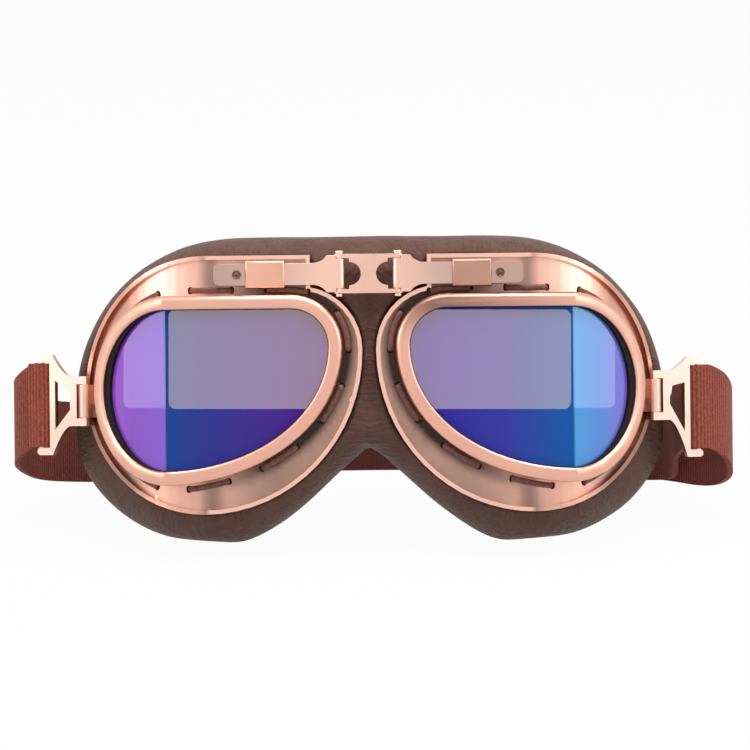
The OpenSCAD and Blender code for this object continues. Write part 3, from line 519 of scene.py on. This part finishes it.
buckle_copper = copper("pale_buckle_copper", even_tones(BUCKLE_ROSE), rough=0.27)
for side in SIDES:
    cast_piece(f"{side}_strap_lug", f"{side}_lug", LUG_ROUNDING, buckle_copper)
    cast_piece(f"{side}_buckle", f"{side}_strap_buckle", BUCKLE_ROUNDING, buckle_copper)


# Laces: flat brown leather cord, sewn in a running stitch through the slots of each cup plate.
# The cord is closed on itself behind the cup.
LACE_TONES = [(0.3, (0.085, 0.028, 0.020)), (0.7, (0.20, 0.068, 0.050))]
LACE_LEVELS = 1


def round_off(obj, levels):
    softer = obj.modifiers.new("round_off", "SUBSURF")
    softer.levels = softer.render_levels = levels


lace_leather = Nodes("brown_lace_leather")
lace_grain = lace_leather.noise(lace_leather.coords(), scale=900, detail=4)
lace_leather.paint(lace_leather.ramp(lace_grain, LACE_TONES), "Base Color")
lace_leather.bump(lace_grain, strength=0.4, distance=0.0003)
lace_leather.fix(Roughness=0.5)
for side in SIDES:
    bm = merged_copy(f"{side}_lace")
    lace = node_piece(bm, f"{side}_lace", f"{side}_stitching", lace_leather.material)
    round_off(lace, LACE_LEVELS)


# Face pad: foam under grey-brown leatherette, in one piece across the nose and laced to both cups.
# It is subdivided, pressed into soft creases and cut in two at the middle.
PAD_BACK = 0.031
PAD_WRAP = 0.021
PAD_SIDE = 0.0898
PAD_EDGE = 0.007
EDGE_SLACK = 0.00005
EDGE_CREASE = 0.7
PAD_LEVELS = 3
CAGE_ANGLE = math.radians(60)
CAGE_SHAPE = math.radians(80)
CONTACT_REACH = 0.0016
SLOT_REACH = 0.0032
PLATE_DEPTH = 0.006
LUMP_DEPTH = 0.00025
LUMP_SCALE = 70
GATHER_DEPTH = 0.0006
GATHER_SCALE = Vector((480, 60, 60))
NOTCH_TOP = Vector((0, 0.02, -0.013))
NOTCH_REACH = Vector((0.009, 0.03, 0.008))
HIDE_TONES = [(0.3, (0.094, 0.049, 0.038)), (0.7, (0.128, 0.068, 0.053))]
EDGE_GREY = (0.30, 0.22, 0.20)
EDGE_FROM = 0.965
CONTACT_BLACK = (0.008, 0.005, 0.004)


def leatherette():
    nodes = Nodes("creased_leatherette")
    hide = nodes.ramp(nodes.noise(nodes.coords(), scale=160, detail=5, rough=0.7), HIDE_TONES)
    edge = nodes.spread(nodes.attribute("pale_edge"), 0, 1, EDGE_FROM, 1)
    pale_edged_hide = nodes.mixed(edge, hide, EDGE_GREY)
    nodes.paint(nodes.mixed(nodes.attribute("contact"), pale_edged_hide, CONTACT_BLACK), "Base Color")
    creases = nodes.noise(nodes.around_lens(along=18, outward=150), rough=0.5)
    wrinkles = nodes.noise(nodes.around_lens(along=45, outward=120), detail=2, rough=0.5)
    pores = nodes.noise(nodes.coords(), scale=1300)
    creased = nodes.bump(creases, strength=0.8, distance=0.0012)
    wrinkled = nodes.bump(wrinkles, strength=0.8, distance=0.001, below=creased)
    nodes.bump(pores, strength=0.35, distance=0.0003, below=wrinkled)
    nodes.fix(Roughness=0.52, Specular_IOR_Level=0.07)
    return nodes.material


def soft_cage(node):
    bm = merged_copy(node)
    bmesh.ops.join_triangles(
        bm, faces=bm.faces[:], angle_face_threshold=CAGE_ANGLE, angle_shape_threshold=CAGE_SHAPE)
    for face in bm.faces:
        face.smooth = True
    return bm


def baked(obj):
    """The object's mesh with its modifiers applied; the object itself goes."""
    shape = obj.evaluated_get(bpy.context.evaluated_depsgraph_get())
    bm = bmesh.new()
    bm.from_mesh(shape.to_mesh())
    shape.to_mesh_clear()
    bpy.data.objects.remove(obj)
    return bm


def subdivided(bm, levels):
    cage = mesh_object(bm, "cage")
    round_off(cage, levels)
    return baked(cage)


def is_pad_edge(vert):
    place = UNSTAND @ vert.co
    face = PAD_BACK + PAD_WRAP * (place.x / PAD_SIDE) ** 2
    return abs(face - PAD_EDGE - place.y) < EDGE_SLACK


def mark_pad_edge(bm):
    edge_mark = bm.verts.layers.float.new("pale_edge")
    crease = bm.edges.layers.float.new("crease_edge")
    for vert in bm.verts:
        vert[edge_mark] = float(is_pad_edge(vert))
    for edge in bm.edges:
        if all(vert[edge_mark] for vert in edge.verts):
            edge[crease] = EDGE_CREASE


def fill_behind_slots(bm):
    """Draws the pad's inner wall in behind the lace slots, so that no light comes through them."""
    rims = {side: BVHTree.FromBMesh(merged_copy(f"{side}_lens_rim")) for side in SIDES}
    forward = STAND.to_3x3() @ Vector((0, -1, 0))
    for vert in bm.verts:
        side, sign = ("left", -1) if vert.co.x < 0 else ("right", 1)
        place = UNSTAND @ vert.co
        inward = Vector((sign * LENS_MIDDLE[0] - place.x, 0, -place.z)).normalized()
        inner = STAND @ (place + SLOT_REACH * inward)
        hit = rims[side].ray_cast(inner, forward)[3]
        if hit and hit > PLATE_DEPTH:
            vert.co = inner


def crease_depth(place):
    """How far the cover stands out at a place: in lumps all over, and in gathers above the nose notch."""
    off = place - NOTCH_TOP
    near = math.exp(-sum((off[k] / NOTCH_REACH[k]) ** 2 for k in range(3)))
    gathers = noise.noise(place * GATHER_SCALE)
    return LUMP_DEPTH * noise.noise(place * LUMP_SCALE) + near * GATHER_DEPTH * gathers


def press_creases(bm):
    moves = [vert.normal * crease_depth(UNSTAND @ vert.co) for vert in bm.verts]
    for vert, move in zip(bm.verts, moves):
        vert.co += move


def shade_contact(bm):
    """Marks where the pad comes out from under a cup plate."""
    contact = bm.verts.layers.float.new("contact")
    for side in SIDES:
        plate = BVHTree.FromBMesh(merged_copy(f"{side}_cup_flange"))
        for vert in bm.verts:
            near = plate.find_nearest(vert.co, CONTACT_REACH)[3]
            if near is not None:
                vert[contact] = max(vert[contact], share(near, CONTACT_REACH, CONTACT_REACH / 2))


def half_of(whole, sign):
    bm = whole.copy()
    bmesh.ops.bisect_plane(
        bm, geom=everything(bm), plane_co=(0, 0, 0), plane_no=(-sign, 0, 0), clear_outer=True)
    cut = [e for e in bm.edges if e.is_boundary]
    bmesh.ops.holes_fill(bm, edges=cut)
    for edge in cut:
        edge.smooth = False
    return bm


def soft_half(whole, node, name, sign, finish):
    """One half of a soft piece, from the bridge in the middle to its own cup."""
    half = mesh_object(half_of(whole, sign), name)
    half.data.materials.append(finish)
    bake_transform(half)
    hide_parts(node)


hide = leatherette()
pad_cage = soft_cage("face_pad")
mark_pad_edge(pad_cage)
fill_behind_slots(pad_cage)
pad = subdivided(pad_cage, PAD_LEVELS)
press_creases(pad)
shade_contact(pad)
for side, sign in zip(SIDES, (-1, 1)):
    soft_half(pad, "face_pad", f"{side}_face_pad", sign, hide)
pad.free()


# Lining: soft dark cloth on the back of the pad, where it meets the face.
# It is sewn on in one ring.
LINING_TONES = [(0.3, (0.040, 0.030, 0.027)), (0.7, (0.085, 0.066, 0.058))]
LINING_LEVELS = 2

lining_cloth = Nodes("brushed_lining_cloth")
nap = lining_cloth.noise(lining_cloth.coords(), scale=1600)
lining_cloth.paint(lining_cloth.ramp(nap, LINING_TONES), "Base Color")
lining_cloth.bump(nap, strength=0.5, distance=0.0004)
lining_cloth.fix(Roughness=0.9, Sheen_Weight=0.4)
lining = subdivided(soft_cage("pad_lining"), LINING_LEVELS)
for side, sign in zip(SIDES, (-1, 1)):
    soft_half(lining, "pad_lining", f"{side}_lining", sign, lining_cloth.material)
lining.free()


# Head strap: one length of knitted elastic webbing. The left end is folded round its buckle and sewn,
# the right end runs round the other buckle and back along itself to the slider.
STRAP_WIDTH = 0.025
STRAP_THICK = 0.0016
STRAP_UP = STAND.to_3x3() @ Vector((0, 0, 1))
STRAP_ROWS = 6
STRAP_LEVELS = 2
CORNER_SLACK = 0.6
UPRIGHT = 0.9
CUT_DEPTH = 0.052
SLIDER_TRAVEL = 0.012
ACROSS = Vector((1, 0, 0))
BACKWARD = Vector((0, 1, 0))
WEB_TONES = [(0.25, (0.135, 0.026, 0.015)), (0.75, (0.325, 0.082, 0.052))]
WEB_REAR_SHADE = (0.05, 0.011, 0.007)
REAR_SHADE_SHARE = 0.85
REAR_SHADE_DEPTH = 0.045
KNIT_SHARE = 0.4


def webbing():
    """Elastic webbing in a knit of fine cross ribs, darkened towards the back with painted shade."""
    nodes = Nodes("knitted_elastic_webbing")
    knit = nodes.add("ShaderNodeTexWave", wave_type="BANDS", bands_direction="X")
    for socket, value in (("Scale", 330), ("Distortion", 3), ("Detail Scale", 4)):
        knit.inputs[socket].default_value = value
    nodes.join(nodes.coords(which="UV"), knit.inputs["Vector"])
    fuzz = nodes.noise(nodes.coords((1, 0.6, 1), "UV"), scale=1500)
    knit_part = nodes.maths("MULTIPLY", knit.outputs["Fac"], KNIT_SHARE)
    yarn = nodes.maths("ADD", knit_part, nodes.maths("MULTIPLY", fuzz, 1 - KNIT_SHARE))
    rear_shade = nodes.spread(nodes.place("Y"), 0, REAR_SHADE_SHARE, 0, REAR_SHADE_DEPTH)
    nodes.paint(nodes.mixed(rear_shade, nodes.ramp(yarn, WEB_TONES), WEB_REAR_SHADE), "Base Color")
    nodes.bump(yarn, strength=0.5, distance=0.0005)
    nodes.fix(Roughness=0.85, Sheen_Weight=0.1, Specular_IOR_Level=0.2)
    return nodes.material


def is_square_and_level(edge):
    level = abs((edge.verts[1].co - edge.verts[0].co).normalized().dot(STRAP_UP)) < UPRIGHT
    return level and abs(edge.calc_face_angle(0) - math.pi / 2) < CORNER_SLACK


def upper_outline(bm):
    """The strap's upper edges as one closed loop of points."""
    corners = {e for e in bm.edges if is_square_and_level(e)}
    near = {v: [e.other_vert(v) for e in v.link_edges if e in corners] for v in bm.verts}
    start = max(bm.verts, key=lambda v: v.co.dot(STRAP_UP))
    loop = [start, near[start][0]]
    while loop[-1] is not start:
        loop.append(next(v for v in near[loop[-1]] if v is not loop[-2]))
    return [v.co.copy() for v in loop[1:]]


def from_sewn_end(loop):
    """The loop from one corner of the sewn end, the leftmost pair of square turns, to the other."""
    steps = [point - loop[k - 1] for k, point in enumerate(loop)]
    turns = [steps[k - 1].angle(steps[k]) for k in range(len(loop))]
    ends = [k for k in range(len(loop)) if min(turns[k], turns[k + 1 - len(loop)]) > SQUARE_TURN]
    first = min(ends, key=lambda k: loop[k].x)
    return loop[first:] + loop[:first]


def strap_sheet(rings, lengths):
    """The strap as one grid of quads along its middle, with its length and width as UV coordinates."""
    bm = bmesh.new()
    last = len(rings) - 1
    bmesh.ops.create_grid(bm, x_segments=last, y_segments=STRAP_ROWS, size=0.5)
    uv = bm.loops.layers.uv.new("UVMap")
    for face in bm.faces:
        face.smooth = True
        for loop in face.loops:
            ring, across = round((loop.vert.co.x + 0.5) * last), loop.vert.co.y
            loop[uv].uv = (lengths[ring], across * STRAP_WIDTH)
    for vert in bm.verts:
        low, high = rings[round((vert.co.x + 0.5) * last)]
        vert.co = low.lerp(high, vert.co.y + 0.5)
    return bm


def thick_strap(sheet):
    web = mesh_object(sheet, "web")
    round_off(web, STRAP_LEVELS)
    thicken = web.modifiers.new("thicken", "SOLIDIFY")
    thicken.thickness = STRAP_THICK
    thicken.offset = 0
    return baked(web)


def strap_part(whole, start, end):
    """The stretch of the strap between two lengths, closed at its cuts."""
    bm = whole.copy()
    uv = bm.loops.layers.uv.active
    middles = {f: sum(loop[uv].uv.x for loop in f.loops) / len(f.loops) for f in bm.faces}
    others = [f for f, place in middles.items() if not start <= place <= end]
    bmesh.ops.delete(bm, geom=others, context="FACES")
    bmesh.ops.holes_fill(bm, edges=[e for e in bm.edges if e.is_boundary])
    smooth_faces(bm)
    return bm


strap_edge = from_sewn_end(upper_outline(merged_copy("head_strap")))
strap_tops = [(a + b) / 2 for a, b in zip(strap_edge[:len(strap_edge) // 2], reversed(strap_edge))]
strap_rings = [(top - STRAP_WIDTH * STRAP_UP, top) for top in strap_tops]
strap_lengths = [0]
for top, next_top in zip(strap_tops, strap_tops[1:]):
    strap_lengths.append(strap_lengths[-1] + (next_top - top).length)
strap_places = [UNSTAND @ ((low + high) / 2) for low, high in strap_rings]


def passes(test, after=0):
    """The first ring past one where a test on the strap's place begins to hold."""
    return next(k for k in range(after + 1, len(strap_places)) if test(strap_places[k]))


left_cut = passes(lambda place: place.y > CUT_DEPTH)
rear_cut = passes(lambda place: place.x >= 0, left_cut)
right_cut = passes(lambda place: place.y < CUT_DEPTH, rear_cut)
tail_cut = passes(lambda place: place.y > CUT_DEPTH, right_cut)
left_bar = min(range(left_cut), key=lambda k: strap_places[k].y)
right_bar = min(range(right_cut, tail_cut), key=lambda k: strap_places[k].y)
loop_end = min(strap_places[right_cut].y, strap_places[tail_cut].y)
slider_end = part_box("strap_slider")[0][0] - SLIDER_TRAVEL


def strap_bend(bodies, axis, start, end):
    """The two bodies and two places, along one axis of the goggles, between which a stretch of strap would
    bend from one body to the next.
    """
    return {"bodies": bodies, "start": STAND @ (start * axis), "end": STAND @ (end * axis)}


left_swing = strap_bend(("left_buckle", "left_cup"), BACKWARD, strap_places[left_bar].y, CUT_DEPTH)
left_fold = strap_bend(("left_cup", "bridge"), ACROSS, strap_places[left_cut].x, 0)
right_fold = strap_bend(("bridge", "right_cup"), ACROSS, 0, slider_end)
right_swing = strap_bend(("right_buckle", "right_cup"), BACKWARD, strap_places[right_bar].y, loop_end)
elastic = webbing()
strap_whole = thick_strap(strap_sheet(strap_rings, strap_lengths))
for name, first, last, bend, rests in (
        ("left_sewn_strap", 0, left_cut, left_swing, "left_strap_buckle"),
        ("left_rear_strap", left_cut, rear_cut, left_fold, "left_sewn_strap"),
        ("right_rear_strap", rear_cut, right_cut, right_fold, "length_slider"),
        ("right_loop_strap", right_cut, tail_cut, right_swing, "right_strap_buckle"),
        ("right_tail_strap", tail_cut, len(strap_rings) - 1, None, "length_slider")):
    start, end = strap_lengths[first], strap_lengths[last]
    piece = mesh_object(strap_part(strap_whole, start, end), name)
    piece.data.materials.append(elastic)
    if bend:
        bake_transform(piece)
    else:
        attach(piece, "right_cup")
    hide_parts("head_strap")
strap_whole.free()


# Slider: a pressed frame with a centre bar, plated like the buckles.
# The strap runs through it, and it sets the strap's length.
SLIDER_ROUNDING = 0.0002
cast_piece("strap_slider", "length_slider", SLIDER_ROUNDING, buckle_copper)


# Camera: as far off as the photographer stood, square to the lenses and a little rolled.
# Its lens takes in the frame's width at the front of the goggles.
CAMERA_DISTANCE = 0.75
FRAME_WIDTH = 0.2162
VIEW_CENTRE = Vector((0.0016, 0, 0.004))
ROLL = math.radians(-0.6)

camera_data = bpy.data.cameras.new("camera")
camera_data.lens = camera_data.sensor_width * CAMERA_DISTANCE / FRAME_WIDTH
camera = bpy.data.objects.new("camera", camera_data)
scene.collection.objects.link(camera)
camera.matrix_world = (
    STAND @ Matrix.Translation(VIEW_CENTRE - CAMERA_DISTANCE * BACKWARD)
    @ Matrix.Rotation(math.pi / 2, 4, "X") @ Matrix.Rotation(ROLL, 4, "Z"))
scene.camera = camera
scene.view_settings.view_transform = "Standard"


# Table and light: a white table and backdrop, soft lamps above and at both sides.
# A strip softbox in front of a black flag stands behind the camera, and a small softbox beside each lens.
TABLE_REACH = 4
TABLE_GREY = (0.6, 0.6, 0.6, 1)
TABLE_GLOW = 0.96
AMBIENT = 0.42
WHITE = (1, 1, 1)
WARM = (1.0, 0.81, 0.52)
BLACK = (0, 0, 0)
STRIP_PLACE = (-0.0595, 0.0565, -0.0098, 0.0189)
STRIP_GLOW = 4.75
FLAG_PLACE = (-0.1, 0.1, -0.06, 0.05)
FLAG_GAP = 0.01
SIDE_PLACES = {"left": (-0.0725, -0.058, -0.0095, 0.024), "right": (0.055, 0.0692, -0.0095, 0.024)}
SIDE_GLOW = 3.2
SIDE_DISTANCE = 0.6
BEHIND_CAMERA = CAMERA_DISTANCE + 0.05
CARD_CORNER = 0.002
RAKE = math.radians(36)
LENS_FRONT = 0.0023
LAMP_AIM = Vector((0, 0, 0.04))


def white_rays(tree):
    """One for rays that show the white backdrop, zero for the light that falls on the goggles."""
    rays = tree.nodes.new("ShaderNodeLightPath")
    total = rays.outputs["Is Camera Ray"]
    for kind in ("Is Glossy Ray", "Is Transmission Ray"):
        both = tree.nodes.new("ShaderNodeMath")
        both.operation = "MAXIMUM"
        tree.links.new(total, both.inputs[0])
        tree.links.new(rays.outputs[kind], both.inputs[1])
        total = both.outputs[0]
    return total


def table_top():
    nodes = Nodes("white_table_top")
    nodes.fix(Base_Color=TABLE_GREY, Roughness=0.9)
    glow = nodes.add("ShaderNodeEmission")
    mix = nodes.add("ShaderNodeMixShader")
    nodes.join(nodes.maths("MULTIPLY", white_rays(nodes.tree), TABLE_GLOW), mix.inputs["Fac"])
    nodes.join(nodes.shader.outputs[0], mix.inputs[1])
    nodes.join(glow.outputs[0], mix.inputs[2])
    nodes.join(mix.outputs[0], nodes.tree.nodes["Material Output"].inputs["Surface"])
    return nodes.material


def square_sheet(reach):
    bm = bmesh.new()
    bmesh.ops.create_grid(bm, x_segments=1, y_segments=1, size=reach)
    return bm


table = mesh_object(square_sheet(TABLE_REACH), "white_table")
table.data.materials.append(table_top())

world = bpy.data.worlds.new("studio")
world.use_nodes = True
scene.world = world
backdrop = world.node_tree.nodes["Background"]
backdrop.inputs["Color"].default_value = (*WHITE, 1)
backdrop_strength = world.node_tree.nodes.new("ShaderNodeMapRange")
backdrop_strength.inputs["To Min"].default_value = AMBIENT
backdrop_strength.inputs["To Max"].default_value = 1
world.node_tree.links.new(white_rays(world.node_tree), backdrop_strength.inputs["Value"])
world.node_tree.links.new(backdrop_strength.outputs["Result"], backdrop.inputs["Strength"])


def card_face(name, colour, strength):
    """A card's face: its own colour in the sharp mirror of a lens, and the backdrop's white elsewhere."""
    nodes = Nodes(name)
    sharp = nodes.add("ShaderNodeLightPath").outputs["Is Singular Ray"]
    white = nodes.add("ShaderNodeRGB").outputs[0]
    white.default_value = (*WHITE, 1)
    glow = nodes.add("ShaderNodeEmission")
    nodes.join(nodes.mixed(sharp, white, colour), glow.inputs["Color"])
    nodes.join(nodes.spread(sharp, 1, strength), glow.inputs["Strength"])
    nodes.join(glow.outputs[0], nodes.tree.nodes["Material Output"].inputs["Surface"])
    return nodes.material


def stage_card(name, size, corner, matrix, face):
    bm = square_sheet(0.5)
    bmesh.ops.scale(bm, vec=(*size, 1), verts=bm.verts)
    bmesh.ops.bevel(bm, geom=bm.verts[:], offset=corner, segments=6, profile=0.5, affect="VERTICES")
    card = mesh_object(bm, name)
    card.matrix_world = matrix
    card.data.materials.append(face)
    card.visible_camera = False


def mirrored_card(name, place, pane, distance, colour, strength):
    """A card that a lens pane mirrors at a place in the picture: left, right, low, high from its middle."""
    left, right, low, high = place
    point, normal = STAND @ Vector(pane[0]), STAND.to_3x3() @ Vector(pane[1])
    mirror = Matrix.Translation(point) @ Matrix.Scale(-1, 4, normal) @ Matrix.Translation(-point)
    depth = CAMERA_DISTANCE + distance
    scale = depth / CAMERA_DISTANCE
    middle = (scale * (left + right) / 2, scale * (low + high) / 2, -depth)
    size = (scale * (right - left), scale * (high - low))
    matrix = mirror @ camera.matrix_world @ Matrix.Translation(middle)
    stage_card(name, size, CARD_CORNER * scale, matrix, card_face(name, colour, strength))


front_pane = ((0, LENS_FRONT, 0), (0, -1, 0))
mirrored_card("strip_softbox", STRIP_PLACE, front_pane, BEHIND_CAMERA, WARM, STRIP_GLOW)
mirrored_card("black_flag", FLAG_PLACE, front_pane, BEHIND_CAMERA + FLAG_GAP, BLACK, 0)
for side, sign in zip(SIDES, (-1, 1)):
    side_pane = ((sign * CREASE, LENS_FRONT, 0), (sign * math.sin(RAKE), -math.cos(RAKE), 0))
    mirrored_card(f"{side}_pane_softbox", SIDE_PLACES[side], side_pane, SIDE_DISTANCE, WHITE, SIDE_GLOW)


def lamp(name, place, size, power):
    light = bpy.data.lights.new(name, "AREA")
    light.shape = "RECTANGLE"
    light.size, light.size_y = size
    light.energy = power
    obj = bpy.data.objects.new(name, light)
    scene.collection.objects.link(obj)
    aim = (LAMP_AIM - Vector(place)).to_track_quat("-Z", "Y")
    obj.matrix_world = Matrix.Translation(place) @ aim.to_matrix().to_4x4()


lamp("top_softbox", place=(0.1, -0.25, 1.0), size=(0.9, 0.7), power=11)
for side, sign in zip(SIDES, (-1, 1)):
    lamp(f"{side}_softbox", place=(sign * 0.9, -0.4, 0.5), size=(0.6, 0.6), power=3)
